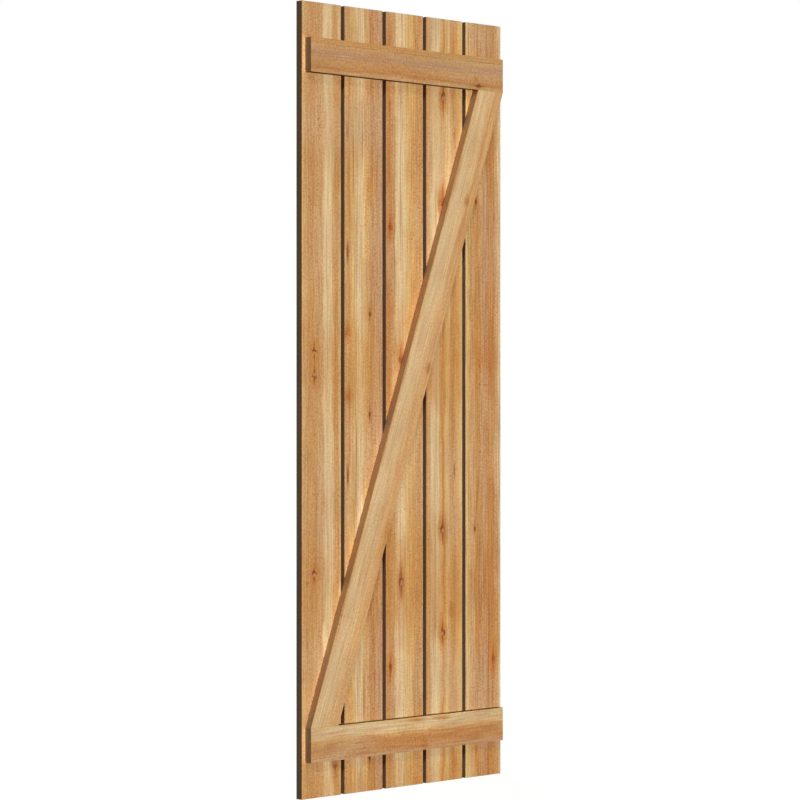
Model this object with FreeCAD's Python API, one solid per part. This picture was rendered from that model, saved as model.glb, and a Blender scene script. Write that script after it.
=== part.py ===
# Board and batten shutter: upright boards with open gaps, held by two battens and a diagonal brace.
# Millimetres. X runs across the shutter, +Z is up and the front looks along -Y.
# The origin is the middle of the back, which lies against the wall on the plane Y = 0.
import FreeCAD
import Part
import math
import os

# Boards
BOARD_COUNT = 5
BOARD_WIDTH = 139.7
BOARD_THICKNESS = 20.6
BOARD_LENGTH = 2032.0
BOARD_GAP = 12.7

# Battens, and the brace of the same thickness between them
BATTEN_WIDTH = 88.9
BATTEN_THICKNESS = 20.6
BATTEN_SIDE_INSET = 12.7  # from the outer boards' edges to the battens' ends
BATTEN_END_DISTANCE = 93.0  # from the boards' ends to the near edge of each batten
BRACE_WIDTH = 92.0

# Eased long edges of every piece
ARRIS_RADIUS = 0.8

# Countersunk holes for the screws that hold the boards from behind
SCREW_HOLE_DIAMETER = 4.5
SCREW_HEAD_DIAMETER = 9.0
COUNTERSINK_ANGLE = 90.0
SCREW_EDGE_DISTANCE = 28.0  # from the edges of both pieces that a screw joins

# Places that follow from the sizes
board_pitch = BOARD_WIDTH + BOARD_GAP
shutter_width = BOARD_COUNT * board_pitch - BOARD_GAP
batten_length = shutter_width - 2 * BATTEN_SIDE_INSET
batten_centre_z = BOARD_LENGTH / 2 - BATTEN_END_DISTANCE - BATTEN_WIDTH / 2
brace_rise = 2 * batten_centre_z - BATTEN_WIDTH

# The brace's long edges end at opposite corners of the opening between the battens, so its lean
# is the lean of the opening's diagonal less the angle that its own width takes up.
opening_diagonal = math.hypot(batten_length, brace_rise)
brace_lean = math.atan2(batten_length, brace_rise) - math.asin(BRACE_WIDTH / opening_diagonal)
brace_slope = math.tan(brace_lean)  # sideways for each millimetre of rise

ORIGIN = FreeCAD.Vector(0, 0, 0)
FRONT = FreeCAD.Vector(0, -1, 0)


def lumber(width, thickness, length):
    """A length of dressed lumber along Z, centred on the origin, with its back on Y = 0."""
    corner = FreeCAD.Vector(-width / 2, -thickness, -length / 2)
    stick = Part.makeBox(width, thickness, length, corner)
    long_edges = [edge for edge in stick.Edges if abs(edge.Curve.Direction.z) > 0.5]
    return stick.makeFillet(ARRIS_RADIUS, long_edges)


def screw_hole(x, z):
    """A countersunk hole through a board, opening on its back."""
    hole_radius = SCREW_HOLE_DIAMETER / 2
    head_radius = SCREW_HEAD_DIAMETER / 2
    sink_depth = (head_radius - hole_radius) / math.tan(math.radians(COUNTERSINK_ANGLE / 2))
    mouth = FreeCAD.Vector(x, 0, z)
    hole = Part.makeCylinder(hole_radius, BOARD_THICKNESS, mouth, FRONT)
    return hole.fuse(Part.makeCone(head_radius, hole_radius, sink_depth, mouth, FRONT))


def batten_screws(board_x):
    """Places of a board's screws into both battens, two on a slant into each."""
    across = BOARD_WIDTH / 2 - SCREW_EDGE_DISTANCE
    up = BATTEN_WIDTH / 2 - SCREW_EDGE_DISTANCE
    return [
        (board_x + side * across, batten_z - side * up)
        for batten_z in (-batten_centre_z, batten_centre_z)
        for side in (-1, 1)
    ]


def brace_screws(board_x):
    """Places of a board's screws into the brace, on its centre line near both ends of their overlap."""
    brace_reach = brace_rise / 2 * brace_slope
    overlap_left = max(board_x - BOARD_WIDTH / 2, -brace_reach)
    overlap_right = min(board_x + BOARD_WIDTH / 2, brace_reach)
    places_x = (overlap_left + SCREW_EDGE_DISTANCE, overlap_right - SCREW_EDGE_DISTANCE)
    return [(x, x / brace_slope) for x in places_x]


def board(number):
    """Upright board, counted from the left of the front, with its screw holes."""
    board_x = (number - (BOARD_COUNT + 1) / 2) * board_pitch
    solid = lumber(BOARD_WIDTH, BOARD_THICKNESS, BOARD_LENGTH)
    solid.translate(FreeCAD.Vector(board_x, 0, 0))
    return solid.cut([screw_hole(x, z) for x, z in batten_screws(board_x) + brace_screws(board_x)])


def batten(centre_z):
    """Level batten on the front of the boards."""
    solid = lumber(BATTEN_WIDTH, BATTEN_THICKNESS, batten_length)
    solid.rotate(ORIGIN, FRONT, 90)
    solid.translate(FreeCAD.Vector(0, -BOARD_THICKNESS, centre_z))
    return solid


def brace():
    """Diagonal brace, laid at its lean and cut level at both ends to seat on the battens."""
    solid = lumber(BRACE_WIDTH, BATTEN_THICKNESS, opening_diagonal)
    solid.rotate(ORIGIN, FRONT, -math.degrees(brace_lean))
    corner = FreeCAD.Vector(-opening_diagonal / 2, -BATTEN_THICKNESS, -brace_rise / 2)
    between_battens = Part.makeBox(opening_diagonal, BATTEN_THICKNESS, brace_rise, corner)
    seated = solid.common(between_battens)
    seated.translate(FreeCAD.Vector(0, -BOARD_THICKNESS, 0))
    return seated


nodes = {f"board_{number}": board(number) for number in range(1, BOARD_COUNT + 1)}
nodes["top_batten"] = batten(batten_centre_z)
nodes["bottom_batten"] = batten(-batten_centre_z)
nodes["diagonal_brace"] = brace()

os.makedirs("parts", exist_ok=True)
for name, solid in nodes.items():
    solid.exportStep(f"parts/{name}.step")
    print(f"{name}: solids {len(solid.Solids)}, valid {solid.isValid()}, {solid.Volume / 1e6:.4f} litres")
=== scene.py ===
import bpy
import math
from mathutils import Matrix, Vector


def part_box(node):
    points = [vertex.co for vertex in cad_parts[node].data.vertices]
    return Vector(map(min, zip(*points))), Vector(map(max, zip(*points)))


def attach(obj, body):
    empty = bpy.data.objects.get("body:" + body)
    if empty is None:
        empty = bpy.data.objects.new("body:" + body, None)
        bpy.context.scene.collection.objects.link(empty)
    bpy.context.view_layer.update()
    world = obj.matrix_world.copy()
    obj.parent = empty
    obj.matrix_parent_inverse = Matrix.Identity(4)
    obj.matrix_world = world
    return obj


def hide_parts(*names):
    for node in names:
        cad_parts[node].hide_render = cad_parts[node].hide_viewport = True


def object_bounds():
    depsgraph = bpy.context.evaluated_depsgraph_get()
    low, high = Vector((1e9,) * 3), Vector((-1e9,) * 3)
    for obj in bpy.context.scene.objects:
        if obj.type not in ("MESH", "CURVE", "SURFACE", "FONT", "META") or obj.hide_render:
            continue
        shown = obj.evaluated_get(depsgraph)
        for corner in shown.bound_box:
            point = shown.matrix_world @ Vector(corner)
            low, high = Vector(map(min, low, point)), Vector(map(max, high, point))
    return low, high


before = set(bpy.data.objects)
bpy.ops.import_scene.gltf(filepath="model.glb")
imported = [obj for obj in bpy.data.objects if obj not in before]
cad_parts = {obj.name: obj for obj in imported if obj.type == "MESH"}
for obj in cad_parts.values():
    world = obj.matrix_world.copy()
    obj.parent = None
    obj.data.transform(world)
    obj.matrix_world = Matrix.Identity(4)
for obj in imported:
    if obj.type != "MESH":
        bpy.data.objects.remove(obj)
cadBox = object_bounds()
mm = 0.001
hair = 0.01 * mm  # places nearer than this are the same
aligned = 0.9  # least part of a direction that counts as pointing that way
smoothAngle = math.radians(35)  # steeper corners stay sharp
white = (1, 1, 1, 1)
print("frame loaded")


# modelling helpers

def dropSelection():
    if bpy.context.object and bpy.context.object.mode != "OBJECT":
        bpy.ops.object.mode_set(mode="OBJECT")
    bpy.ops.object.select_all(action="DESELECT")


def pickOnly(piece):
    dropSelection()
    piece.select_set(True)
    bpy.context.view_layer.objects.active = piece


# goes into edit mode with only the parts picked that pass the test
def pickParts(piece, kind, test):
    pickOnly(piece)
    bpy.ops.object.mode_set(mode="EDIT")
    bpy.ops.mesh.select_mode(type=kind)
    bpy.ops.mesh.select_all(action="DESELECT")
    bpy.ops.object.mode_set(mode="OBJECT")
    parts = {"VERT": piece.data.vertices, "EDGE": piece.data.edges, "FACE": piece.data.polygons}[kind]
    for part in parts:
        part.select = test(part)
    bpy.ops.object.mode_set(mode="EDIT")


def edgeRun(piece, edge):
    start, end = (piece.data.vertices[index].co for index in edge.vertices)
    return end - start


def applyModifiers(piece):
    pickOnly(piece)
    for modifier in list(piece.modifiers):
        bpy.ops.object.modifier_apply(modifier=modifier.name)


def copyPiece(piece, name):
    pickOnly(piece)
    bpy.ops.object.duplicate(linked=False)
    twin = bpy.context.object
    twin.name = name
    twin.data.name = name
    return twin


def settle(piece, turn, place):
    pickOnly(piece)
    piece.rotation_euler = (0, turn, 0)
    piece.location = place
    bpy.ops.object.transform_apply(location=True, rotation=True, scale=True)


def throwAway(piece):
    pickOnly(piece)
    bpy.ops.object.delete()


def joinPieces(pieces):
    dropSelection()
    for piece in pieces:
        piece.select_set(True)
    bpy.context.view_layer.objects.active = pieces[0]
    bpy.ops.object.join()
    return pieces[0]


def smoothFaces(piece):
    pickOnly(piece)
    bpy.ops.object.shade_smooth_by_angle(angle=smoothAngle)


# millimetres; the cuts divide the length twice over, into cells of about 7 mm
lumber = dict(easing=0.8, easingSteps=3, endEasing=0.6, endSlope=1.2, cellAcross=3.5, cellThick=3.6,
              boardCuts=(15, 15), battenCuts=(9, 9), braceCuts=(14, 14))


# a stick of dressed lumber along Z with its back on Y = 0: long edges eased, ends chamfered,
# faces cut into a fine grid so that the grain can stand in real relief
def dressedStick(name, width, thick, length, lengthCuts):
    dropSelection()
    endCut = lumber["endEasing"] * mm
    bpy.ops.mesh.primitive_cube_add(
        size=1, location=(0, -thick / 2, 0), scale=(width, thick, length - 2 * endCut))
    stick = bpy.context.object
    stick.name = name
    bpy.ops.object.transform_apply(location=True, rotation=True, scale=True)
    pickParts(stick, "EDGE", lambda edge: abs(edgeRun(stick, edge).z) > length / 2)
    bpy.ops.mesh.bevel(offset=lumber["easing"] * mm, segments=lumber["easingSteps"], affect="EDGES")
    for cuts in lengthCuts:
        pickParts(stick, "EDGE", lambda edge: abs(edgeRun(stick, edge).normalized().z) > aligned)
        bpy.ops.mesh.subdivide(number_cuts=cuts)
    pickParts(stick, "EDGE", lambda edge: abs(edgeRun(stick, edge).x) > width / 2)
    bpy.ops.mesh.subdivide(number_cuts=round(width / mm / lumber["cellAcross"]))
    pickParts(stick, "EDGE", lambda edge: abs(edgeRun(stick, edge).y) > thick / 2)
    bpy.ops.mesh.subdivide(number_cuts=round(thick / mm / lumber["cellThick"]))
    pickParts(stick, "FACE", lambda face: abs(face.normal.z) > aligned)
    bpy.ops.mesh.inset(thickness=endCut * lumber["endSlope"], depth=endCut)
    bpy.ops.object.mode_set(mode="OBJECT")
    return stick


# sizes and depths in millimetres; stretch is along the grain
relief = dict(layers=[dict(size=9, stretch=45, depth=0.2), dict(size=60, stretch=6, depth=0.12)],
              octaves=2, midLevel=0.85, seedStep=(0.37, 0.21, 0.53))


# grain relief, pressed inwards only, so that the piece stays inside its own size
def pressGrain(stick, seed):
    for number, layer in enumerate(relief["layers"]):
        texture = bpy.data.textures.new(f"{stick.name}_grain_{number}", "CLOUDS")
        texture.noise_scale = layer["size"] * mm
        texture.noise_depth = relief["octaves"]
        dropSelection()
        bpy.ops.object.empty_add(location=[step * seed for step in relief["seedStep"]])
        guide = bpy.context.object
        guide.scale = (1, 1, layer["stretch"])
        bpy.context.view_layer.update()
        displace = stick.modifiers.new("grain", "DISPLACE")
        displace.texture = texture
        displace.texture_coords = "OBJECT"
        displace.texture_coords_object = guide
        displace.strength = layer["depth"] * mm
        displace.mid_level = relief["midLevel"]
        applyModifiers(stick)
        throwAway(guide)


# reaches in knot sizes, the rest in millimetres
knotDish = dict(reaches=(1.5, 1.0, 0.6), step=0.16, skin=1.2)


# a knot shrinks more than the wood round it, so it sits in a shallow dish
def dishKnots(stick, knots, front):
    def farFrom(knot, vertex):
        across = (vertex.co.x / mm - knot["at"][0]) / knot["size"][0]
        along = (vertex.co.z / mm - knot["at"][1]) / knot["size"][1]
        return math.hypot(across, along)

    def inDish(vertex, reach):
        if vertex.co.y > front + knotDish["skin"] * mm:
            return False
        return any(farFrom(knot, vertex) < reach for knot in knots)

    for reach in knotDish["reaches"]:
        pickParts(stick, "VERT", lambda vertex: inDish(vertex, reach))
        bpy.ops.transform.translate(value=(0, knotDish["step"] * mm, 0))
    bpy.ops.object.mode_set(mode="OBJECT")


print("modelling helpers ready")


# node helpers

def put(tree, socket, value):
    if isinstance(value, bpy.types.NodeSocket):
        tree.links.new(value, socket)
    else:
        socket.default_value = value


def calc(tree, operation, *values):
    node = tree.nodes.new("ShaderNodeMath")
    node.operation = operation
    for socket, value in zip(node.inputs, values):
        put(tree, socket, value)
    return node.outputs[0]


def squared(tree, value):
    return calc(tree, "MULTIPLY", value, value)


def spread(tree, value, low, high, lowOut=0.0, highOut=1.0, ease="SMOOTHSTEP"):
    node = tree.nodes.new("ShaderNodeMapRange")
    node.interpolation_type = ease
    for socket, setting in zip(node.inputs, (value, low, high, lowOut, highOut)):
        put(tree, socket, setting)
    return node.outputs[0]


# the whole amount up to the first distance, and none from the second
def fade(tree, distance, reach, amount=1.0):
    return spread(tree, distance, *reach, amount, 0.0)


def blend(tree, how, amount, under, over):
    node = tree.nodes.new("ShaderNodeMix")
    node.data_type = "RGBA"
    node.blend_type = how
    put(tree, node.inputs[0], amount)
    put(tree, node.inputs[6], under)  # 6, 7 and the third output are the colour sockets
    put(tree, node.inputs[7], over)
    return node.outputs[2]


def packVector(tree, *values):
    node = tree.nodes.new("ShaderNodeCombineXYZ")
    for socket, value in zip(node.inputs, values):
        put(tree, socket, value)
    return node.outputs[0]


def splitVector(tree, vector):
    node = tree.nodes.new("ShaderNodeSeparateXYZ")
    put(tree, node.inputs[0], vector)
    return node.outputs


# a value made a colour, with its own reach and level in red, green and blue
def tinted(tree, value, reaches, levels):
    return packVector(tree, *(
        calc(tree, "MULTIPLY_ADD", value, reach, level) for reach, level in zip(reaches, levels)))


# noise with its own grain size on each axis, in cells per metre
def noise(tree, vector, cells, detail=2.0, roughness=0.5):
    scale = tree.nodes.new("ShaderNodeVectorMath")
    scale.operation = "MULTIPLY"
    put(tree, scale.inputs[0], vector)
    scale.inputs[1].default_value = cells
    node = tree.nodes.new("ShaderNodeTexNoise")
    put(tree, node.inputs["Vector"], scale.outputs[0])
    node.inputs["Scale"].default_value = 1.0
    node.inputs["Detail"].default_value = detail
    node.inputs["Roughness"].default_value = roughness
    return node.outputs[0]


# the same, centred on nought and scaled
def sway(tree, vector, cells, amount, detail=2.0, roughness=0.5):
    centred = calc(tree, "SUBTRACT", noise(tree, vector, cells, detail, roughness), 0.5)
    return calc(tree, "MULTIPLY", centred, amount)


def valued(*labels):
    return dict.fromkeys(labels, "NodeSocketFloat")


def coloured(*labels):
    return dict.fromkeys(labels, "NodeSocketColor")


def newGroup(name, takes, gives):
    tree = bpy.data.node_groups.new(name, "ShaderNodeTree")
    for label, kind in takes.items():
        tree.interface.new_socket(name=label, in_out="INPUT", socket_type=kind)
    for label, kind in gives.items():
        tree.interface.new_socket(name=label, in_out="OUTPUT", socket_type=kind)
    return tree, tree.nodes.new("NodeGroupInput").outputs, tree.nodes.new("NodeGroupOutput").inputs


def useGroup(tree, group, **values):
    node = tree.nodes.new("ShaderNodeGroup")
    node.node_tree = group
    for label, value in values.items():
        put(tree, node.inputs[label], value)
    return node.outputs


def newFinish(name):
    material = bpy.data.materials.new(name)
    material.use_nodes = True
    return material, material.node_tree, material.node_tree.nodes["Principled BSDF"]


def addBump(tree, shader, height, strength, depth):
    bump = tree.nodes.new("ShaderNodeBump")
    bump.inputs["Strength"].default_value = strength
    bump.inputs["Distance"].default_value = depth * mm
    put(tree, bump.inputs["Height"], height)
    put(tree, shader.inputs["Normal"], bump.outputs[0])


def srgb(red, green, blue, alpha=1.0):
    def linear(level):
        level /= 255
        return level / 12.92 if level <= 0.04045 else ((level + 0.055) / 1.055) ** 2.4
    return (linear(red), linear(green), linear(blue), alpha)


# where the growth ring through a point comes out on the front face, so that bands laid out on
# the front run on through the edges, the ends and the back as real rings do
def makeRingGroup():
    tree, take, give = newGroup(
        "cedarRings", valued("Across", "Depth", "PithAcross", "PithDepth", "FaceDepth"), valued("Across"))
    sideways = calc(tree, "SUBTRACT", take["Across"], take["PithAcross"])
    inward = calc(tree, "SUBTRACT", take["Depth"], take["PithDepth"])
    faceInward = calc(tree, "SUBTRACT", take["FaceDepth"], take["PithDepth"])
    ring = calc(tree, "ADD", squared(tree, sideways), squared(tree, inward))
    left = calc(tree, "SUBTRACT", ring, squared(tree, faceInward))
    out = calc(tree, "SQRT", calc(tree, "MAXIMUM", left, 0.0))
    put(tree, give["Across"], calc(tree, "ADD", out, take["PithAcross"]))
    return tree


spotPlace = valued("Across", "Along", "SpotAcross", "SpotAlong", "HalfWidth", "HalfLength")


# how far across and along from a spot, in spot sizes
def fromSpot(tree, take):
    across = calc(tree, "SUBTRACT", take["Across"], take["SpotAcross"])
    along = calc(tree, "SUBTRACT", take["Along"], take["SpotAlong"])
    return calc(tree, "DIVIDE", across, take["HalfWidth"]), calc(tree, "DIVIDE", along, take["HalfLength"])


def spotDistance(tree, take):
    across, along = fromSpot(tree, take)
    return calc(tree, "SQRT", calc(tree, "ADD", squared(tree, across), squared(tree, along)))


grainFlow = dict(reach=(0.6, 4.0), push=0.55)


# grain that parts and swells round a knot
def makeFlowGroup():
    tree, take, give = newGroup("grainRoundKnot", spotPlace | valued("Push"), valued("Across"))
    away = calc(tree, "SUBTRACT", take["Across"], take["SpotAcross"])
    pull = calc(tree, "MULTIPLY", fade(tree, spotDistance(tree, take), grainFlow["reach"]), take["Push"])
    put(tree, give["Across"], calc(tree, "SUBTRACT", take["Across"], calc(tree, "MULTIPLY", away, pull)))
    return tree


# distances in knot sizes, in pairs where an effect is whole and where it has gone
knotShape = dict(
    ragged=2.0, halo=(0.7, 3.8), haloAmount=0.85, haloAlong=0.25,
    tails=(0.2, 1.2), tailAmount=0.85, tailAlong=0.04, tailAcross=3.0,
    core=0.3, ring=(1.0, 1.6), ringSides=(-0.8, 0.7), paleSide=0.2,
    heart=(0.3, 1.0), heartAmount=0.85, heartShift=0.3)


# the knot: a heart, a bark ring that is dark on one side, thin tails where the grain closes over it,
# and a warm halo drawn out along the grain
def makeKnotGroup():
    shape = knotShape
    tree, take, give = newGroup(
        "cedarKnot",
        spotPlace | coloured("Wood", "Heart", "Ring", "Halo")
        | valued("Strength", "DarkAcross", "DarkAlong", "Ragged"),
        coloured("Wood") | valued("Mask"))
    across, along = fromSpot(tree, take)
    acrossSquare, alongSquare = squared(tree, across), squared(tree, along)
    ragged = calc(tree, "MULTIPLY", take["Ragged"], shape["ragged"])
    plain = calc(tree, "SQRT", calc(tree, "ADD", acrossSquare, alongSquare))
    far = calc(tree, "ADD", plain, ragged)

    drawn = calc(tree, "SQRT", calc(tree, "MULTIPLY_ADD", alongSquare, shape["haloAlong"], acrossSquare))
    halo = fade(tree, calc(tree, "ADD", drawn, ragged), shape["halo"], shape["haloAmount"])
    narrow = calc(tree, "MULTIPLY", acrossSquare, shape["tailAcross"])
    tail = calc(tree, "SQRT", calc(tree, "MULTIPLY_ADD", alongSquare, shape["tailAlong"], narrow))
    tails = fade(tree, tail, shape["tails"], shape["tailAmount"])

    alongDark = calc(tree, "MULTIPLY", along, take["DarkAlong"])
    toDark = calc(tree, "MULTIPLY_ADD", across, take["DarkAcross"], alongDark)
    toDark = calc(tree, "DIVIDE", toDark, calc(tree, "MAXIMUM", plain, shape["core"]))
    darkSide = spread(tree, toDark, *shape["ringSides"], shape["paleSide"], 1.0)
    ring = calc(tree, "MULTIPLY", fade(tree, far, shape["ring"]), darkSide)
    ring = calc(tree, "MULTIPLY", calc(tree, "MAXIMUM", ring, tails), take["Strength"])
    heart = calc(tree, "MULTIPLY_ADD", toDark, shape["heartShift"], far)
    heart = fade(tree, heart, shape["heart"], shape["heartAmount"])

    wood = blend(tree, "MIX", calc(tree, "MULTIPLY", halo, take["Strength"]), take["Wood"], take["Halo"])
    wood = blend(tree, "MIX", ring, wood, take["Ring"])
    wood = blend(tree, "MIX", calc(tree, "MULTIPLY", heart, take["Strength"]), wood, take["Heart"])
    put(tree, give["Wood"], wood)
    put(tree, give["Mask"], ring)
    return tree


stainShape = dict(ragged=1.6, reach=(0.1, 1.6))


# soft patch of another tone, such as an amber cloud or a dark resin streak
def makeStainGroup():
    tree, take, give = newGroup(
        "cedarStain", spotPlace | coloured("Wood", "Tint") | valued("Strength", "Ragged"), coloured("Wood"))
    ragged = calc(tree, "MULTIPLY", take["Ragged"], stainShape["ragged"])
    far = calc(tree, "ADD", spotDistance(tree, take), ragged)
    amount = calc(tree, "MULTIPLY", fade(tree, far, stainShape["reach"]), take["Strength"])
    put(tree, give["Wood"], blend(tree, "MIX", amount, take["Wood"], take["Tint"]))
    return tree


# cells per metre across, through and along the grain; reaches and levels are red, green and blue
sawnFace = dict(
    cleanest=1.3, softCells=(200, 45, 0.8), softDepth=0.5, softRoughness=0.6,
    lateCells=(110, 30, 0.6), lateHalf=0.06, lateDepth=0.5, latePatches=(26, 12, 1.8), lateFrom=(0.4, 0.6),
    fibreCells=(280, 90, 9), fibreDepth=0.75, streakCells=(85, 30, 1.1), streakDepth=0.34,
    lineReaches=(0.72, 1.05, 1.3), lineLevels=(1.03, 1.045, 1.045),
    dashCells=(130, 130, 340), dashFrom=(0.02, 0.3), dashDepth=0.34,
    dashPatches=(24, 24, 7), patchFrom=(0.38, 0.62), patchLeast=0.3,
    speckCells=(200, 200, 180), speckDepth=0.75,
    markReaches=(0.45, 1.2, 1.15), markLevels=(1.01, 1.03, 1.03),
    raggedCells=(80, 80, 30), roughCells=(150, 150, 110))


# fine lines along the grain, with late wood as thin dark lines, and short reddish saw dashes and pores
def makeSawnGroup():
    face = sawnFace
    tree, take, give = newGroup(
        "sawnFace",
        valued("Across", "Depth", "Along", "Roughness", "LineDepth", "LateWood", "MarkDepth"),
        coloured("Lines", "Marks") | valued("Height", "Ragged", "Rough", "Dashed"))
    place = packVector(tree, take["Across"], take["Depth"], take["Along"])

    soft = sway(tree, place, face["softCells"], face["softDepth"], roughness=face["softRoughness"])
    late = calc(tree, "ABSOLUTE", sway(tree, place, face["lateCells"], 1.0, detail=1.0))
    late = fade(tree, late, (0.0, face["lateHalf"]), -face["lateDepth"])
    here = spread(tree, noise(tree, place, face["latePatches"]), *face["lateFrom"])
    late = calc(tree, "MULTIPLY", calc(tree, "MULTIPLY", late, here), take["LateWood"])
    fibres = sway(tree, place, face["fibreCells"], face["fibreDepth"], detail=1.0)
    streaks = sway(tree, place, face["streakCells"], face["streakDepth"])
    clean = calc(tree, "SUBTRACT", face["cleanest"], take["Roughness"])
    lines = calc(tree, "MULTIPLY", calc(tree, "ADD", soft, late), clean)
    lines = calc(tree, "ADD", lines, calc(tree, "ADD", fibres, streaks))
    lines = calc(tree, "MULTIPLY", lines, take["LineDepth"])
    put(tree, give["Lines"], tinted(tree, lines, face["lineReaches"], face["lineLevels"]))

    dashed = sway(tree, place, face["dashCells"], 1.0, detail=1.0)
    patches = noise(tree, place, face["dashPatches"])
    patches = spread(tree, patches, *face["patchFrom"], face["patchLeast"], 1.0)
    dashes = spread(tree, dashed, *face["dashFrom"], 0.0, -face["dashDepth"])
    dashes = calc(tree, "MULTIPLY", dashes, patches)
    specks = sway(tree, place, face["speckCells"], face["speckDepth"], detail=1.0)
    marks = calc(tree, "MULTIPLY", calc(tree, "ADD", dashes, specks), take["Roughness"])
    marks = calc(tree, "MULTIPLY", marks, take["MarkDepth"])
    put(tree, give["Marks"], tinted(tree, marks, face["markReaches"], face["markLevels"]))

    put(tree, give["Height"], calc(tree, "ADD", calc(tree, "ADD", soft, marks), 0.5))
    put(tree, give["Ragged"], sway(tree, place, face["raggedCells"], 1.0))
    put(tree, give["Rough"], sway(tree, place, face["roughCells"], 1.0))
    put(tree, give["Dashed"], dashed)
    return tree


ringGroup = makeRingGroup()
flowGroup = makeFlowGroup()
knotGroup = makeKnotGroup()
stainGroup = makeStainGroup()
sawnGroup = makeSawnGroup()
print("cedar node groups ready")

# tones of the wood; the fourth number is how rough the saw leaves that wood
tones = {
    "cream": srgb(219, 185, 137, 0.55),
    "blush": srgb(217, 175, 124, 0.6),
    "straw": srgb(217, 176, 114, 0.55),
    "honey": srgb(214, 164, 97, 0.7),
    "tan": srgb(203, 155, 102, 0.95),
    "rose": srgb(198, 145, 90, 1.0),
    "apricot": srgb(211, 159, 102, 0.7),
    "amber": srgb(205, 150, 87, 0.8),
    "russet": srgb(191, 130, 74, 0.9),
    "mauve": srgb(194, 146, 106, 0.9),
}
knotTones = {
    "red": dict(heart=srgb(148, 70, 32), ring=srgb(164, 90, 40), halo=srgb(190, 118, 50)),
    "pink": dict(heart=srgb(186, 136, 102), ring=srgb(130, 66, 28), halo=srgb(190, 120, 54)),
    "pin": dict(heart=srgb(100, 44, 22), ring=srgb(136, 74, 36), halo=srgb(192, 130, 68)),
}
stainTones = {
    "amber": srgb(198, 138, 70),
    "rust": srgb(180, 110, 50),
    "resin": srgb(134, 64, 40),
    "pale": srgb(220, 184, 136),
    "umber": srgb(190, 130, 66),
    "ash": srgb(205, 166, 123),
}

# what all cedar pieces share; cells per metre across, through and along the grain, other sizes in
# millimetres, and clouds that come by turns in metres
cedar = dict(
    wanderCells=(5, 5, 2.6), wanderShare=1.5, featherCells=(8, 8, 9), featherShare=2.2,
    fineFeatherCells=(16, 16, 24), frayCells=(45, 45, 190), fray=7, streakCells=(130, 45, 7),
    cloudPeriod=0.59, cloudPhase=0.35, cloudCells=(10, 10, 3.6),
    umberFrom=(0.48, 0.72), ashFrom=(0.5, 0.28), ashShare=0.9,
    lightCells=(14, 14, 7), lightDepth=0.24, blushCells=(90, 60, 32), blushReaches=(0.02, -0.2, -0.14),
    edgeFrom=(0.7, 0.95), endAmount=0.75, heights=(0.2, 0.8), faceRough=(0.7, 0.54), edgeRough=0.95,
    specular=0.25, bump=0.3, bumpDepth=0.5, knotSink=0.4)


# place and normal, turned so that they count across, through and along the grain
def grainPlace(tree, look):
    source = tree.nodes.new("ShaderNodeTexCoord")
    mapping = tree.nodes.new("ShaderNodeMapping")
    mapping.inputs["Location"].default_value = look["shift"]
    facing = tree.nodes.new("ShaderNodeMapping")
    facing.vector_type = "VECTOR"
    for node, output in ((mapping, "Object"), (facing, "Normal")):
        node.inputs["Rotation"].default_value = (0, -look["turn"], 0)
        put(tree, node.inputs["Vector"], source.outputs[output])
    return splitVector(tree, mapping.outputs[0]), splitVector(tree, facing.outputs[0])


def spotSockets(spot):
    return dict(SpotAcross=spot["at"][0] * mm, SpotAlong=spot["at"][1] * mm,
                HalfWidth=spot["size"][0] * mm, HalfLength=spot["size"][1] * mm)


# grain that wanders up the piece, parts round the knots and follows the growth rings
def wanderGrain(tree, look, across, depth, along, place):
    wander = sway(tree, place, cedar["wanderCells"], look["wander"] * cedar["wanderShare"] * mm)
    flow = calc(tree, "ADD", across, wander)
    for knot in look["knots"]:
        flow = useGroup(
            tree, flowGroup, Across=flow, Along=along, Push=grainFlow["push"], **spotSockets(knot))[0]
    return useGroup(
        tree, ringGroup, Across=flow, Depth=depth, PithAcross=look["pith"][0] * mm,
        PithDepth=look["pith"][1] * mm, FaceDepth=-look["thick"])[0]


# bands of tone with feathered borders, and how rough the saw left each
def layBands(tree, look, flow, place):
    feathers = (
        (cedar["featherCells"], look["wander"] * cedar["featherShare"]),
        (cedar["fineFeatherCells"], look["wander"]),
        (cedar["frayCells"], cedar["fray"]),
        (cedar["streakCells"], look["streak"]))
    for cells, reach in feathers:
        flow = calc(tree, "ADD", flow, sway(tree, place, cells, reach * mm))
    ramp = tree.nodes.new("ShaderNodeValToRGB")
    ramp.color_ramp.interpolation = "EASE"
    stops = ramp.color_ramp.elements
    while len(stops) < len(look["bands"]):
        stops.new(0.5)
    for stop, (spot, tone) in zip(stops, look["bands"]):
        stop.position = spot
        stop.color = tones[tone]
    put(tree, ramp.inputs[0], spread(tree, flow, -look["width"] / 2, look["width"] / 2, ease="LINEAR"))
    return ramp.outputs


# slow clouds that turn the wood umber or ashen, by turns up a board
def cloudWood(tree, look, along, place, wood):
    turns = calc(tree, "MULTIPLY_ADD", along, 2 * math.pi / cedar["cloudPeriod"], cedar["cloudPhase"])
    drift = noise(tree, place, cedar["cloudCells"])
    clouds = calc(tree, "MULTIPLY_ADD", calc(tree, "SINE", turns), look["cloudTurns"], drift)
    umber = spread(tree, clouds, *cedar["umberFrom"], 0.0, look["clouds"])
    ash = spread(tree, clouds, *cedar["ashFrom"], 0.0, look["clouds"] * cedar["ashShare"])
    wood = blend(tree, "MIX", umber, wood, stainTones["umber"])
    return blend(tree, "MIX", ash, wood, stainTones["ash"])


# lighter and darker, and here and there redder
def lightAndBlush(tree, look, place):
    light = calc(tree, "ADD", sway(tree, place, cedar["lightCells"], cedar["lightDepth"]), look["level"])
    blush = sway(tree, place, cedar["blushCells"], look["blush"])
    return tinted(tree, blush, cedar["blushReaches"], (light, light, light))


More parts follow.
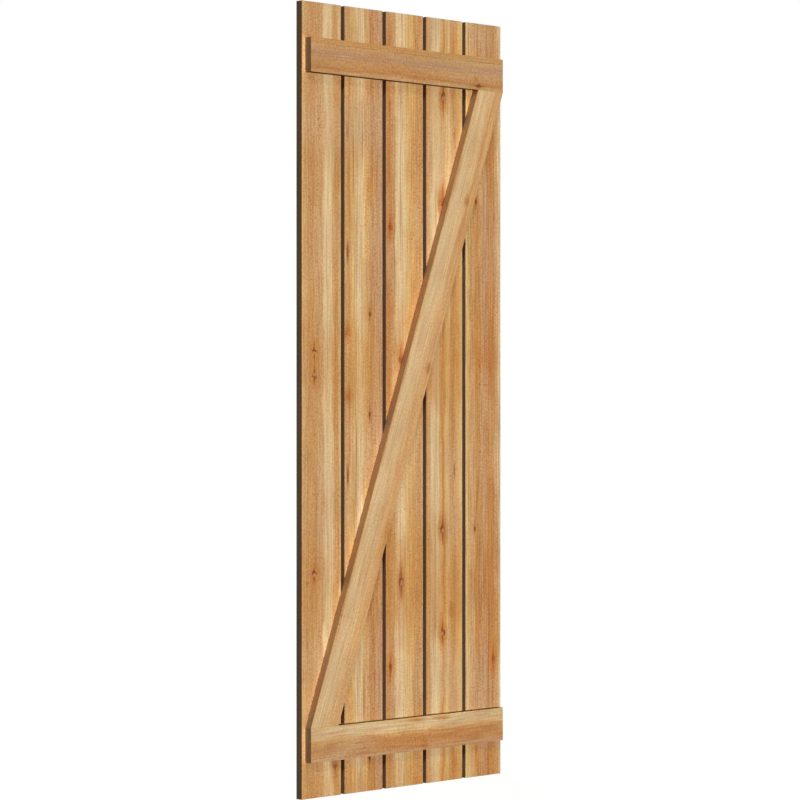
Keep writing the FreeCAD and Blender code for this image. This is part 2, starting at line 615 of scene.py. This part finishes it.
def addStains(tree, look, across, along, sawn, wood):
    for stain in look["stains"]:
        ragged = sawn["Dashed" if stain["tone"] == "resin" else "Ragged"]
        wood = useGroup(
            tree, stainGroup, Across=across, Along=along, Wood=wood, Tint=stainTones[stain["tone"]],
            Strength=stain["strength"], Ragged=ragged, **spotSockets(stain))[0]
    return wood


def addKnots(tree, look, across, along, sawn, wood):
    mask = 0.0
    for knot in look["knots"]:
        colours = knotTones[knot["tone"]]
        outs = useGroup(
            tree, knotGroup, Across=across, Along=along, Wood=wood,
            Heart=colours["heart"], Ring=colours["ring"], Halo=colours["halo"], Strength=knot["strength"],
            DarkAcross=knot["dark"][0], DarkAlong=knot["dark"][1], Ragged=sawn["Rough"],
            **spotSockets(knot))
        wood = outs["Wood"]
        mask = calc(tree, "MAXIMUM", mask, outs["Mask"])
    return wood, mask


# a whole cedar finish: bands, clouds, stains, knots, sawn face, painted light and shade on the edges, and
# ends
def cedarFinish(name, look):
    material, tree, shader = newFinish(name)
    (across, depth, along), normals = grainPlace(tree, look)
    onEdge, _, onEnd = (calc(tree, "ABSOLUTE", normal) for normal in normals)
    onEdge = spread(tree, onEdge, *cedar["edgeFrom"])  # not on the eased corners
    seeded = calc(tree, "ADD", along, look["seed"])
    place = packVector(tree, across, depth, seeded)
    flow = wanderGrain(tree, look, across, depth, along, place)
    wood, sawRoughness = layBands(tree, look, flow, place)
    sawn = useGroup(
        tree, sawnGroup, Across=flow, Depth=depth, Along=seeded, Roughness=sawRoughness,
        LineDepth=look["lineDepth"], LateWood=look["lateWood"], MarkDepth=look["markDepth"])
    wood = cloudWood(tree, look, along, place, wood)
    wood = addStains(tree, look, across, along, sawn, wood)
    wood, knotMask = addKnots(tree, look, across, along, sawn, wood)
    for layer in (sawn["Lines"], sawn["Marks"], lightAndBlush(tree, look, place)):
        wood = blend(tree, "MULTIPLY", 1.0, wood, layer)
    # painted light and shade: the faces along the edges are mixed toward a set tone that stands for how
    # they are lit, darker on the boards and battens, paler on the brace
    wood = blend(tree, "MIX", calc(tree, "MULTIPLY", onEdge, look["paintedEdgeAmount"]), wood, look["paintedEdgeTone"])
    wood = blend(tree, "MIX", calc(tree, "MULTIPLY", onEnd, cedar["endAmount"]), wood, look["endTone"])
    put(tree, shader.inputs["Base Color"], wood)
    faceRough = spread(tree, sawn["Height"], *cedar["heights"], *cedar["faceRough"])
    edgeRough = calc(tree, "MULTIPLY", onEdge, cedar["edgeRough"])  # edges are left as the saw cut them
    put(tree, shader.inputs["Roughness"], calc(tree, "MAXIMUM", faceRough, edgeRough))
    shader.inputs["Specular IOR Level"].default_value = cedar["specular"]
    sunk = calc(tree, "MULTIPLY", knotMask, cedar["knotSink"])
    height = calc(tree, "SUBTRACT", sawn["Height"], sunk)
    addBump(tree, shader, height, cedar["bump"], cedar["bumpDepth"])
    return material


# a knot or stain; dark points to the side of a knot where its ring is darkest
def spotOn(tone, across, along, halfWidth, halfLength, strength=1.0, dark=(0, 1)):
    return dict(tone=tone, at=(across, along), size=(halfWidth, halfLength), strength=strength, dark=dark)


# screws that hold the boards from behind, in millimetres; lobes are points of the recess drawn in
screw = dict(
    headRadius=4.2, shankRadius=1.9, length=36, sunk=0.3, rim=0.4, rimEasing=0.15, rimSteps=2,
    pointLength=5, pointShare=0.1, recess=2.3, recessDepth=1.9, lobes=(((0,), 0.66), ((1, 3), 0.88)),
    lobeStep=4, sides=24, turnStep=0.65, mouthRadius=4.5, holeRadius=2.25, overcut=0.5, throughCut=1,
    edgeDistance=28)


def resizeRing(factor, y):
    bpy.ops.transform.resize(value=(factor, 1, factor), center_override=(0, y, 0))


def makeHoleCutter(thick):
    dropSelection()
    mouth, hole = screw["mouthRadius"] * mm, screw["holeRadius"] * mm
    sink = mouth - hole
    tail = thick + screw["throughCut"] * mm
    bpy.ops.mesh.primitive_cylinder_add(
        vertices=screw["sides"], radius=hole, depth=tail - sink,
        location=(0, -(tail + sink) / 2, 0), rotation=(math.pi / 2, 0, 0))
    cutter = bpy.context.object
    bpy.ops.object.transform_apply(location=True, rotation=True, scale=True)
    over = screw["overcut"] * mm  # the mouth goes on past the back face at the same 90 degree cone
    pickParts(cutter, "FACE", lambda face: face.normal.y > aligned)
    bpy.ops.mesh.extrude_region_move(TRANSFORM_OT_translate={"value": (0, sink + over, 0)})
    resizeRing((mouth + over) / hole, over)
    bpy.ops.object.mode_set(mode="OBJECT")
    return cutter


def makeScrew():
    dropSelection()
    head, shank, rim = screw["headRadius"] * mm, screw["shankRadius"] * mm, screw["rim"] * mm
    recess, top = screw["recess"] * mm, -screw["sunk"] * mm
    bpy.ops.mesh.primitive_cylinder_add(
        vertices=screw["sides"], radius=head, depth=rim,
        location=(0, top - rim / 2, 0), rotation=(math.pi / 2, 0, 0))
    piece = bpy.context.object
    bpy.ops.object.transform_apply(location=True, rotation=True, scale=True)

    # cone, shank and point
    pickParts(piece, "FACE", lambda face: face.normal.y < -aligned)
    low = top - rim
    runs = ((head - shank, shank / head), (screw["length"] * mm - head, 1.0),
            (screw["pointLength"] * mm, screw["pointShare"]))
    for drop, factor in runs:
        bpy.ops.mesh.extrude_region_move(TRANSFORM_OT_translate={"value": (0, -drop, 0)})
        low -= drop
        resizeRing(factor, low)

    # six-lobed recess in the head
    pickParts(piece, "FACE", lambda face: face.normal.y > aligned)
    bpy.ops.mesh.inset(thickness=head - recess)
    step = 2 * math.pi / screw["sides"]
    between = (head + recess) / 2  # radius that parts the recess from the rim

    def onTop(vertex):
        return abs(vertex.co.y - top) < hair

    def lobeVertex(vertex, wanted):
        number = round(math.atan2(vertex.co.z, vertex.co.x) / step)
        return onTop(vertex) and vertex.co.xz.length < between and number % screw["lobeStep"] in wanted

    def rimEdge(edge):
        ends = [piece.data.vertices[index] for index in edge.vertices]
        return all(onTop(vertex) and vertex.co.xz.length > between for vertex in ends)

    for wanted, factor in screw["lobes"]:
        pickParts(piece, "VERT", lambda vertex: lobeVertex(vertex, wanted))
        resizeRing(factor, top)
    pickParts(piece, "FACE", lambda face: face.normal.y > aligned and face.center.xz.length < recess / 4)
    bpy.ops.mesh.extrude_region_move(TRANSFORM_OT_translate={"value": (0, -screw["recessDepth"] * mm, 0)})
    pickParts(piece, "EDGE", rimEdge)
    bpy.ops.mesh.bevel(offset=screw["rimEasing"] * mm, segments=screw["rimSteps"], affect="EDGES")
    bpy.ops.object.mode_set(mode="OBJECT")
    return piece


def drillHoles(board, places):
    drills = []
    for x, z in places:
        drill = copyPiece(holeCutter, "drill")
        settle(drill, 0, (x, 0, z))
        drills.append(drill)
    drill = joinPieces(drills)
    cut = board.modifiers.new("screwHoles", "BOOLEAN")
    cut.operation = "DIFFERENCE"
    cut.solver = "EXACT"
    cut.object = drill
    applyModifiers(board)
    throwAway(drill)


def finishPiece(piece, look):
    smoothFaces(piece)
    piece.data.materials.clear()
    piece.data.materials.append(cedarFinish(look["name"] + "Cedar", look))
    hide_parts(look["node"])
    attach(piece, "root")
    print(look["name"], "done,", len(piece.data.polygons), "faces")


# sizes and middle that the frame gives
def spanOf(node):
    ends = list(zip(*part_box(node)))
    return [high - low for low, high in ends], [(high + low) / 2 for low, high in ends]


(boardWidth, boardThick, boardLength), _ = spanOf("board_1")
(battenLength, battenThick, battenWidth), (_, _, battenHeight) = spanOf("top_batten")
(braceReach, braceThick, braceRise), _ = spanOf("diagonal_brace")
braceWidth = 92 * mm  # its box doesn't give this
braceDiagonal = math.hypot(braceReach, braceRise)
braceLean = math.atan2(braceReach, braceRise) - math.asin(braceWidth / braceDiagonal)


# a board's screws: two on a slant into each batten, two on the brace's centre line
def screwPlaces(centre):
    half, inset = boardWidth / 2, screw["edgeDistance"] * mm
    places = [(centre + side * (half - inset), level - side * (battenWidth / 2 - inset))
              for level in (-battenHeight, battenHeight) for side in (-1, 1)]
    reach = braceRise / 2 * math.tan(braceLean)
    left = max(centre - half, -reach) + inset
    right = min(centre + half, reach) - inset
    return places + [(x, x / math.tan(braceLean)) for x in (left, right)]


boardStick = dressedStick("boardStick", boardWidth, boardThick, boardLength, lumber["boardCuts"])
battenStick = dressedStick("battenStick", battenWidth, battenThick, battenLength, lumber["battenCuts"])
holeCutter = makeHoleCutter(boardThick)
print("plain sticks and hole cutter ready")

# the edge tone is painted shade: the board sides are mixed toward a dark brown that stands for the shade
# they sit in
boardWood = dict(slot="board_cedar", cloudTurns=0.12, paintedEdgeTone=srgb(140, 113, 92), paintedEdgeAmount=0.8,
                 endTone=srgb(158, 122, 86))


def makeBoard(look):
    centre = spanOf(look["node"])[1][0]
    look.update(boardWood, width=boardWidth, thick=boardThick, shift=(-centre, 0, 0), turn=0)
    piece = copyPiece(boardStick, look["name"])
    pressGrain(piece, look["seed"])
    dishKnots(piece, look["knots"], -boardThick)
    drillHoles(piece, [(x - centre, z) for x, z in screwPlaces(centre)])
    settle(piece, 0, (centre, 0, 0))
    finishPiece(piece, look)


# millimetres, counted to the right and up from the board's middle; bands count from the left edge
# to the right edge, and the pith lies to the left and behind
boardOne = dict(
    node="board_1", name="boardOne", seed=0.0, wander=10, streak=4, clouds=0.3, pith=(-260, 60),
    level=1.0, lineDepth=0.94, markDepth=1.2, blush=1.1, lateWood=0.8,
    bands=[(0.0, "straw"), (0.025, "honey"), (0.07, "tan"), (0.18, "rose"), (0.31, "rose"),
           (0.42, "tan"), (0.52, "tan"), (0.58, "cream"), (0.75, "cream"), (0.83, "amber"),
           (0.92, "rose"), (0.98, "straw")],
    knots=[spotOn("pink", -26, 122, 6, 6.5), spotOn("pink", -26, 63, 6, 6.5, dark=(-0.5, -0.8)),
           spotOn("pink", -26, -445, 6, 6.5), spotOn("pink", 49, -934, 7, 8, 0.65, dark=(0.3, -0.9))],
    stains=[spotOn("rust", -26, 94, 2.5, 44, 0.7), spotOn("amber", 50, 556, 12, 30, 0.7),
            spotOn("amber", 48, 60, 9, 120, 0.7), spotOn("umber", -20, 115, 70, 80, 0.35),
            spotOn("umber", -12, -490, 90, 100, 0.32), spotOn("amber", 10, -1000, 90, 60, 0.35),
            spotOn("ash", 15, 715, 80, 80, 0.45)])
makeBoard(boardOne)

boardTwo = dict(
    node="board_2", name="boardTwo", seed=3.7, wander=8, streak=4, clouds=0.35, pith=(-240, 70),
    level=1.003, lineDepth=1.15, markDepth=1.45, blush=1.6, lateWood=1.1,
    bands=[(0.0, "rose"), (0.05, "tan"), (0.12, "amber"), (0.2, "honey"), (0.27, "straw"),
           (0.34, "cream"), (0.46, "cream"), (0.54, "honey"), (0.62, "tan"), (0.7, "russet"),
           (0.78, "rose"), (0.9, "mauve")],
    knots=[spotOn("pin", 23, 222, 3.6, 6), spotOn("pin", 23, -37, 3.6, 6), spotOn("pin", 22, -930, 3.6, 6)],
    stains=[spotOn("resin", -58, 696, 4, 26, 0.9), spotOn("resin", -58, 381, 4, 26, 0.9),
            spotOn("resin", -58, -194, 4, 26, 0.9), spotOn("amber", 25, 546, 12, 30, 0.7),
            spotOn("rust", -60, 176, 14, 26, 1.0), spotOn("rust", -58, 8, 16, 24, 1.0),
            spotOn("amber", 5, 60, 90, 130, 0.38), spotOn("umber", 20, -490, 70, 90, 0.5),
            spotOn("umber", 0, -1005, 90, 65, 0.5), spotOn("ash", -15, 715, 80, 80, 0.55)])
makeBoard(boardTwo)

boardThree = dict(
    node="board_3", name="boardThree", seed=7.9, wander=9, streak=4, clouds=0.4, pith=(-250, 50),
    level=1.025, lineDepth=1.1, markDepth=1.4, blush=1.5, lateWood=1.0,
    bands=[(0.0, "russet"), (0.11, "russet"), (0.18, "rose"), (0.25, "tan"), (0.3, "cream"),
           (0.48, "cream"), (0.56, "straw"), (0.68, "honey"), (0.76, "amber"), (0.83, "rose"),
           (0.92, "rose"), (0.98, "tan")],
    knots=[spotOn("red", -54, 452, 6, 9, dark=(0.6, -0.6)), spotOn("red", -14, 106, 8, 10),
           spotOn("pink", -12, -479, 6.5, 10, dark=(-0.3, 0.6)),
           spotOn("red", -54, -699, 6, 9, dark=(0.6, -0.6))],
    stains=[spotOn("rust", -56, 771, 7, 16, 0.8), spotOn("amber", 10, 110, 90, 110, 0.25),
            spotOn("amber", 0, -490, 90, 120, 0.42), spotOn("amber", 0, -1000, 90, 60, 0.4)])
makeBoard(boardThree)

boardFour = dict(
    node="board_4", name="boardFour", seed=12.3, wander=9, streak=4, clouds=0.5, pith=(-230, 60),
    level=1.005, lineDepth=0.78, markDepth=1.1, blush=1.0, lateWood=0.8,
    bands=[(0.0, "rose"), (0.1, "tan"), (0.16, "cream"), (0.34, "cream"), (0.41, "honey"),
           (0.47, "russet"), (0.53, "honey"), (0.6, "straw"), (0.68, "rose"), (0.75, "russet"),
           (0.82, "amber"), (0.9, "honey"), (0.97, "straw")],
    knots=[spotOn("pink", -5, 806, 7, 9, dark=(-0.3, 0.8)), spotOn("red", -7, 526, 9, 10),
           spotOn("pink", -7, -346, 7, 9, dark=(-0.6, 0.5)),
           spotOn("pink", -7, -621, 7, 8, dark=(0.7, 0.5))],
    stains=[spotOn("resin", 39, 706, 3, 22, 0.6), spotOn("resin", 39, -189, 3, 22, 0.8),
            spotOn("rust", 33, -564, 13, 22, 0.9), spotOn("rust", 38, -969, 12, 26, 0.7),
            spotOn("resin", 26, -548, 2.5, 14, 0.5), spotOn("pale", -10, 640, 60, 180, 0.55),
            spotOn("rust", 28, 105, 24, 28, 0.4), spotOn("amber", 10, 100, 90, 110, 0.25),
            spotOn("amber", 10, -540, 90, 120, 0.25), spotOn("umber", 35, -450, 45, 110, 0.35),
            spotOn("amber", 0, -1000, 90, 60, 0.35)])
makeBoard(boardFour)

boardFive = dict(
    node="board_5", name="boardFive", seed=17.1, wander=8, streak=4, clouds=0.45, pith=(-270, 60),
    level=0.986, lineDepth=1.32, markDepth=1.3, blush=1.4, lateWood=1.0,
    bands=[(0.0, "straw"), (0.08, "straw"), (0.18, "tan"), (0.25, "amber"), (0.33, "russet"),
           (0.42, "rose"), (0.54, "mauve"), (0.62, "russet"), (0.7, "russet"), (0.78, "russet"),
           (0.88, "tan"), (0.97, "cream")],
    knots=[spotOn("pin", -29, 534, 4, 6), spotOn("pin", -33, -348, 3.6, 5),
           spotOn("red", 41, -699, 6, 10, dark=(0.2, -0.7))],
    stains=[spotOn("rust", 10, 108, 70, 40, 0.45), spotOn("rust", 40, 40, 14, 50, 0.4),
            spotOn("rust", 5, -480, 90, 80, 0.25), spotOn("amber", 0, -30, 90, 80, 0.3),
            spotOn("ash", -35, 985, 50, 50, 0.7), spotOn("pale", -30, 575, 50, 80, 0.35)])
makeBoard(boardFive)

# the edge tone is painted shade: the batten's top and bottom faces are mixed toward near black, standing
# for the shade they sit in
battenWood = dict(slot="batten_cedar", cloudTurns=0.0, paintedEdgeTone=srgb(92, 56, 26), paintedEdgeAmount=0.85,
                  endTone=srgb(170, 143, 110))


def makeBatten(look):
    height = spanOf(look["node"])[1][2]
    look.update(battenWood, width=battenWidth, thick=battenThick, shift=(height, boardThick, 0),
                turn=math.pi / 2)
    piece = copyPiece(battenStick, look["name"])
    pressGrain(piece, look["seed"])
    dishKnots(piece, look["knots"], -battenThick)
    settle(piece, look["turn"], (0, -boardThick, height))
    finishPiece(piece, look)


# across counts down from the batten's middle, along counts to the right
topBatten = dict(
    node="top_batten", name="topBatten", seed=23.0, wander=7, streak=5, clouds=0.25, pith=(-200, 80),
    level=0.908, lineDepth=0.75, markDepth=1.25, blush=0.5, lateWood=0.2,
    bands=[(0.0, "amber"), (0.09, "amber"), (0.17, "tan"), (0.28, "tan"), (0.37, "mauve"),
           (0.5, "mauve"), (0.59, "rose"), (0.7, "rose"), (0.84, "russet"), (0.95, "tan")],
    knots=[spotOn("pin", 34, 262, 5, 8, 0.85)],
    stains=[spotOn("amber", 17, 252, 11, 9, 0.9), spotOn("rust", 20, 252, 8, 6, 0.5),
            spotOn("umber", -30, -190, 1.6, 80, 0.9), spotOn("umber", -29, 60, 1.6, 120, 0.8),
            spotOn("umber", -30, 290, 1.6, 60, 0.8), spotOn("pale", -4, -240, 1.2, 25, 0.6),
            spotOn("pale", -4, -145, 1.2, 20, 0.6), spotOn("pale", -3, 60, 1.2, 25, 0.5)])
makeBatten(topBatten)

lowBatten = dict(
    node="bottom_batten", name="lowBatten", seed=29.0, wander=8, streak=14, clouds=0.35, pith=(-200, 80),
    level=0.948, lineDepth=1.2, markDepth=1.2, blush=1.4, lateWood=0.3,
    bands=[(0.0, "straw"), (0.08, "cream"), (0.22, "cream"), (0.32, "blush"), (0.44, "amber"),
           (0.54, "russet"), (0.64, "russet"), (0.78, "russet"), (0.88, "rose"), (0.96, "mauve")],
    knots=[],
    stains=[spotOn("amber", -38, 27, 5, 30, 0.9), spotOn("amber", -36, 122, 6, 32, 0.9),
            spotOn("amber", -30, 10, 12, 60, 0.25), spotOn("ash", 16, -250, 26, 120, 0.4),
            spotOn("umber", 5, -290, 3, 24, 0.8), spotOn("umber", 5, -193, 3, 22, 0.8),
            spotOn("rust", 28, 55, 18, 14, 0.5), spotOn("rust", 18, 257, 14, 10, 0.4),
            spotOn("resin", 38, 0, 6, 420, 0.12)])
makeBatten(lowBatten)


# the brace is laid at its lean, then cut level to seat on both battens
def makeBrace(look):
    look.update(width=braceWidth, thick=braceThick, shift=(0, boardThick, 0), turn=braceLean)
    piece = dressedStick(look["name"], braceWidth, braceThick, braceDiagonal, lumber["braceCuts"])
    pressGrain(piece, look["seed"])
    dishKnots(piece, look["knots"], -braceThick)
    settle(piece, braceLean, (0, -boardThick, 0))
    for side in (-1, 1):
        pickParts(piece, "FACE", lambda face: True)
        bpy.ops.mesh.bisect(
            plane_co=(0, 0, side * braceRise / 2), plane_no=(0, 0, side), use_fill=True, clear_outer=True)
    bpy.ops.object.mode_set(mode="OBJECT")
    finishPiece(piece, look)


# across counts to the right of the brace's centre line, along counts up it
# its edge tone is painted light: the brace sides are mixed toward a pale tone, standing for the light its
# left side catches
brace = dict(
    node="diagonal_brace", name="diagonalBrace", slot="brace_cedar", seed=35.0, wander=8, streak=8,
    clouds=0.3, cloudTurns=0.0, pith=(-220, 90), paintedEdgeTone=srgb(206, 167, 121), paintedEdgeAmount=0.6,
    endTone=srgb(164, 138, 106), level=0.953, lineDepth=1.0, markDepth=1.15, blush=1.2, lateWood=0.15,
    bands=[(0.0, "tan"), (0.06, "blush"), (0.25, "cream"), (0.45, "blush"), (0.6, "blush"),
           (0.72, "apricot"), (0.86, "apricot"), (0.97, "apricot")],
    knots=[],
    stains=[spotOn("rust", 16, 577, 9, 16, 0.8), spotOn("rust", 34, 103, 9, 16, 0.8),
            spotOn("amber", 38, -370, 12, 60, 0.7), spotOn("rust", 40, -370, 5, 40, 0.4)])
makeBrace(brace)
for spare in (boardStick, battenStick, holeCutter):
    throwAway(spare)

# noise sizes in cells per metre
steel = dict(bright=(0.62, 0.61, 0.59, 1), dull=(0.46, 0.45, 0.43, 1), dullCells=(160, 160, 160),
             drawnCells=(900, 900, 7000), wornFrom=(0.7, 1.3), rough=(0.26, 0.46),
             bump=0.15, bumpDepth=0.05)


# stainless steel with drawn lines and a little dulling
def steelFinish():
    material, tree, shader = newFinish("screwSteel")
    place = tree.nodes.new("ShaderNodeTexCoord").outputs["Object"]
    dull = noise(tree, place, steel["dullCells"], detail=3.0)
    drawn = noise(tree, place, steel["drawnCells"])
    worn = spread(tree, calc(tree, "ADD", dull, drawn), *steel["wornFrom"], *steel["rough"])
    put(tree, shader.inputs["Base Color"], blend(tree, "MIX", dull, steel["bright"], steel["dull"]))
    put(tree, shader.inputs["Roughness"], worn)
    shader.inputs["Metallic"].default_value = 1.0
    addBump(tree, shader, drawn, steel["bump"], steel["bumpDepth"])
    return material


screwPiece = makeScrew()
screws = []
for board in (boardOne, boardTwo, boardThree, boardFour, boardFive):
    for x, z in screwPlaces(spanOf(board["node"])[1][0]):
        driven = copyPiece(screwPiece, "screw")
        settle(driven, screw["turnStep"] * len(screws), (x, 0, z))  # no two stop at the same turn
        screws.append(driven)
throwAway(screwPiece)
backScrews = joinPieces(screws)
backScrews.name = "back_screws"
smoothFaces(backScrews)
backScrews.data.materials.append(steelFinish())
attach(backScrews, "root")
print(len(screws), "screws done")

# studio: even light from the front, a soft sun from the upper left, lights for the back and the right
suns = dict(
    frontLight=dict(comesFrom=(0, -1, 0), level=0.77, softness=6),
    leftSun=dict(comesFrom=(-0.576, -0.507, 0.640), level=0.23, softness=7),
    backLight=dict(comesFrom=(0.35, 0.8, 0.5), level=0.66, softness=20),
    rightLight=dict(comesFrom=(0.94, 0.33, 0.08), level=0.35, softness=20))


def sunLamp(name, comesFrom, level, softness):
    dropSelection()
    bpy.ops.object.light_add(type="SUN", rotation=Vector(comesFrom).to_track_quat("Z", "Y").to_euler())
    lamp = bpy.context.object
    lamp.name = name
    lamp.data.energy = level * math.pi
    lamp.data.angle = math.radians(softness)


for name, sun in suns.items():
    sunLamp(name, **sun)

# light that the front pieces' edges throw on the boards; sizes in millimetres
glow = dict(brace=0.7, braceLength=1740, batten=0.25, battenEnd=1.15, height=17, gap=0.5, lift=1)


# narrow strip lamp close to an edge; run is the way it lies and away the way it shines
def stripLamp(name, middle, run, away, length, level):
    dropSelection()
    bpy.ops.object.light_add(type="AREA", location=middle)
    lamp = bpy.context.object
    lamp.name = name
    back, run = -Vector(away), Vector(run)
    lamp.rotation_euler = Matrix((run, back.cross(run), back)).transposed().to_euler()
    lamp.data.shape = "RECTANGLE"
    lamp.data.size = length
    lamp.data.size_y = glow["height"] * mm
    lamp.data.energy = level * math.pi * length * glow["height"] * mm
    lamp.visible_camera = False


leanSine, leanCosine = math.sin(braceLean), math.cos(braceLean)
gap = glow["gap"] * mm
edgeOut = braceWidth / 2 + gap
edgeDepth = -boardThick - glow["height"] / 2 * mm - glow["lift"] * mm
stripLamp(
    "braceEdgeGlow", (-edgeOut * leanCosine, edgeDepth, edgeOut * leanSine),
    (leanSine, 0, leanCosine), (-leanCosine, 0, leanSine), glow["braceLength"] * mm, glow["brace"])
stripLamp(
    "battenEdgeGlow", (0, edgeDepth, -battenHeight + battenWidth / 2 + gap),
    (1, 0, 0), (0, 0, 1), battenLength, glow["batten"])
for side in (-1, 1):
    stripLamp(
        "battenEndGlow", (-battenLength / 2 - gap, edgeDepth, side * battenHeight),
        (0, 0, 1), (-1, 0, 0), battenWidth, glow["battenEnd"])

room = dict(ambient=0.065, floorSize=30, floorGrey=(0.06, 0.06, 0.06, 1), floorGlow=0.975)
world = bpy.data.worlds.new("whiteStudio")
bpy.context.scene.world = world
world.use_nodes = True
ground = world.node_tree.nodes["Background"]
ground.inputs["Color"].default_value = white
seen = world.node_tree.nodes.new("ShaderNodeLightPath").outputs["Is Camera Ray"]
put(world.node_tree, ground.inputs["Strength"], spread(world.node_tree, seen, 0, 1, room["ambient"], 1.0))

dropSelection()
bpy.ops.mesh.primitive_plane_add(size=room["floorSize"], location=(0, 0, cadBox[0][2]))
floor = bpy.context.object
floor.name = "studioFloor"
floorPaint, _, paint = newFinish("paleFloor")
paint.inputs["Base Color"].default_value = room["floorGrey"]
paint.inputs["Emission Color"].default_value = white
paint.inputs["Emission Strength"].default_value = room["floorGlow"]
paint.inputs["Specular IOR Level"].default_value = 0.0
floor.data.materials.append(floorPaint)
floor.visible_diffuse = False
floor.visible_glossy = False
floor.visible_shadow = False

# camera fitted to the edges of the boards, gaps, battens and brace
shot = dict(turn=45.738, lens=133.6, sensor=36, place=(-5.60202, -5.46311, 0.0))
dropSelection()
bpy.ops.object.camera_add(location=shot["place"], rotation=(math.pi / 2, 0, -math.radians(shot["turn"])))
camera = bpy.context.object
camera.name = "photoCamera"
camera.data.sensor_width = shot["sensor"]
camera.data.lens = shot["lens"]
bpy.context.scene.camera = camera
bpy.context.scene.view_settings.view_transform = "Standard"
print("studio and camera ready")
